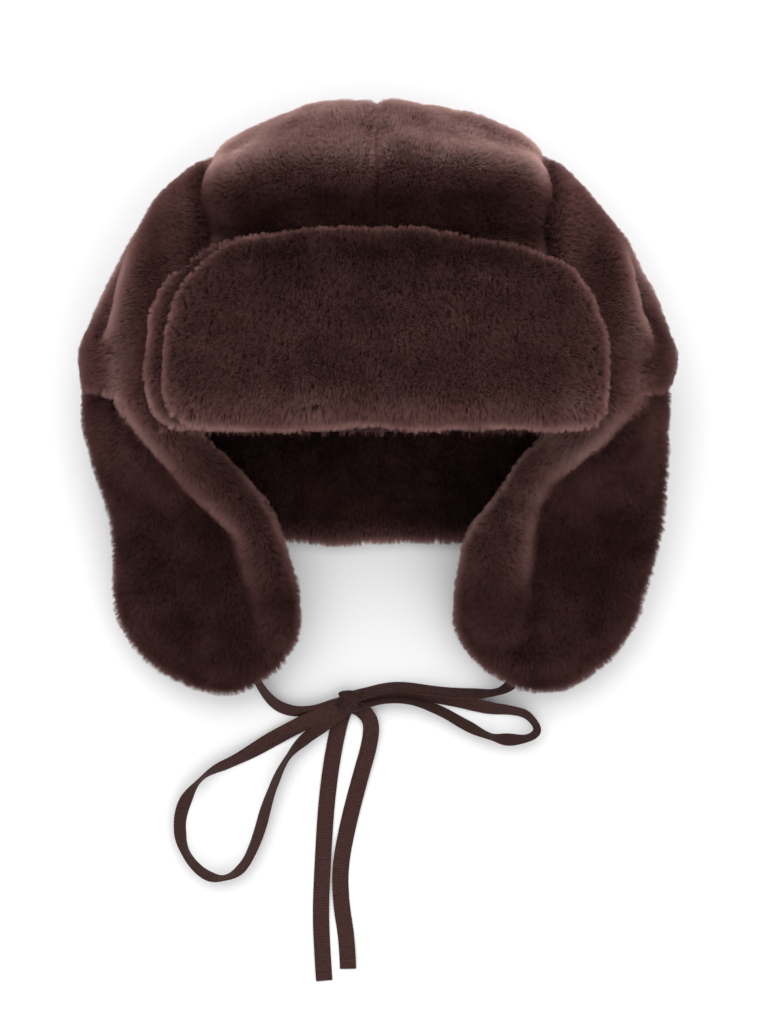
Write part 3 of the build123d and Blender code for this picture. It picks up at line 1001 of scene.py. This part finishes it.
def flap_heights(side, crease):
    """Upper side of an ear flap: a mound at its root, then a rolled front strip that fades out."""
    low, high = node_box(f"{side}_ear_flap_outer")
    sign = -1 if side == "left" else 1

    def top(x, y):
        share = min(1.0, max(0.0, (FLAP_HINGE_Y - y) / (FLAP_HINGE_Y - low[1])))
        height = lerp(high[2], FLAP_TIP_Z, share) - PILE_DEPTH + 1.0
        height += MOUND_HEIGHT * smooth(-70, -4, y) * bell(abs(x) - MOUND_X, 32)
        height -= 6 * smooth(-80, -20, y) * smooth(140, 160, abs(x))
        inner = sign * (line_at(crease, y) - x)
        fade = smooth(-150, -95, y)
        strip = STRIP_HEIGHT * smooth(-2, 9, inner) - 3.0 * smooth(18, 42, inner)
        height += fade * (strip - 2.5 * bell(inner + 3, 5))
        return height + 1.3 * fur_noise((x, y, 0), 30.0, 5.0 * sign)

    def bottom(x, y):
        resting = lerp(FLAP_ROOT_UNDER_Z, REST_Z, min(1.0, max(0.0, (FLAP_HINGE_Y - y) / 85.0)))
        over_neck = NECK_TOP_Z + 1.2 if abs(x) < 104 and y > -88 else REST_Z
        return max(resting, over_neck, top(x, y) - FLAP_PLY)

    return top, bottom


def make_ear_flap(side, outline, crease, seed, strip_sheen):
    """Two padded fur layers with wadding between; the last argument is the painted sheen on the rolled front
    strip.
    """
    top, bottom = flap_heights(side, crease)
    sign = -1 if side == "left" else 1
    body = f"{side}_ear_flap"

    def seam(x, y):
        return (top(x, y) + bottom(x, y)) / 2

    # painted light: darker on the flat outer face, sheen on the rolled front strip and along the crease's
    # ridge
    def painted_light(point):
        x, y, _ = point
        inner = sign * (line_at(crease, y) - x)
        strip = smooth(-4, 12, inner) * smooth(-128, -70, y)
        return 0.09 + strip_sheen * strip + 0.18 * bell(inner - 3, 6) * smooth(-110, -60, y)

    def fold_with_crown(piece):
        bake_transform(piece, "crown", body, start=(0.0, -0.012, 0.050), end=(0.0, -0.046, 0.040))

    layers = (
        ("outer", top, lambda x, y: seam(x, y) + 2.4, 12.0, [f"{body}_outer", f"side_band_{side}"]),
        ("inner", lambda x, y: seam(x, y) - 2.4, bottom, 9.0, [f"{body}_inner"]),
    )
    for number, (layer, upper, lower, roundness, nodes) in enumerate(layers):
        bm = pillow(outline, upper, lower, roundness)
        displace(bm, soft_relief)
        piece = finish_piece(inflate(new_object(f"{side}_ear_flap_{layer}_fur", bm), 1.2), "fur", nodes)
        fold_with_crown(piece)
        grow_pile(piece, seed=seed + number, painted_light=painted_light)
    wadding = make_pad(f"{side}_ear_flap_wadding_pad", f"{body}_wadding", "wadding", drawn_in(outline, 14.0),
                       lambda x, y: seam(x, y) + 1.0, lambda x, y: seam(x, y) - 1.0)
    fold_with_crown(wadding)


# ---- neck flap ---------------------------------------------------------------------------------
NECK_FLAP = [
    (-98, -10), (-96, -24), (-91, -50), (-76, -70), (-45, -78), (0, -79.5), (45, -78), (76, -70), (91, -50),
    (96, -24), (98, -10), (50, -8), (-50, -8),
]


def neck_painted_light(point):
    """Painted sheen along the neck flap's hem."""
    return 0.07 + 0.23 * smooth(-66, -79, point[1])


def make_neck_flap():
    """Two padded fur layers and the wadding between them, under the ear flaps."""
    def inner_top(x, y):
        return NECK_TOP_Z - 3.2 + 0.8 * fur_noise((x, y, 0), 25.0)

    layers = (
        ("neck_flap_inner", inner_top, level(7.8), 51),
        ("neck_flap_outer", level(5.8), level(REST_Z), 52),
    )
    for node, top, bottom, seed in layers:
        bm = pillow(NECK_FLAP, top, bottom, 5.0)
        displace(bm, lambda p: 0.4 * soft_relief(p))
        piece = finish_piece(inflate(new_object(f"{node}_fur", bm), 0.5, voxel=2.2), "fur", [node], "crown")
        grow_pile(piece, seed=seed, painted_light=neck_painted_light)
    make_pad("neck_flap_wadding_pad", "neck_flap_wadding", "wadding", drawn_in(NECK_FLAP, 12.0),
             level(7.2), level(6.4), "crown")


# ---- stage -------------------------------------------------------------------------------------
def make_stage():
    """Plain pale floor under soft, nearly even light."""
    bpy.ops.mesh.primitive_plane_add(size=80.0, location=(0, 0, 0))
    floor = bpy.context.object
    floor.name = "floor"
    m = Nodes("floor_paper")
    m.shader.inputs["Base Color"].default_value = (0.87, 0.87, 0.873, 1.0)
    m.surface(0.9, 0.1)
    floor.data.materials.append(m.material)
    world = bpy.data.worlds.new("studio")
    world.use_nodes = True
    sky = world.node_tree.nodes["Background"]
    sky.inputs["Color"].default_value = (1.0, 1.0, 1.0, 1.0)
    sky.inputs["Strength"].default_value = 0.95
    bpy.context.scene.world = world
    lights = (("key", (-0.4, 1.6, 1.5), 3.0, 42.0), ("fill", (0.9, -1.2, 1.6), 2.0, 10.0))
    for name, place, size, power in lights:
        lamp = bpy.data.lights.new(name, "AREA")
        lamp.size = size
        lamp.energy = power
        light = bpy.data.objects.new(name, lamp)
        light.location = place
        light.rotation_euler = (-Vector(place)).to_track_quat("-Z", "Y").to_euler()
        bpy.context.scene.collection.objects.link(light)
    bpy.context.scene.view_settings.view_transform = "Standard"


make_camera()
make_ties()
make_crown()
make_inside()
make_visor()
make_ear_flap("left", LEFT_FLAP, LEFT_CREASE, 41, 0.22)
make_ear_flap("right", RIGHT_FLAP, RIGHT_CREASE, 44, 0.33)
make_neck_flap()
make_stage()
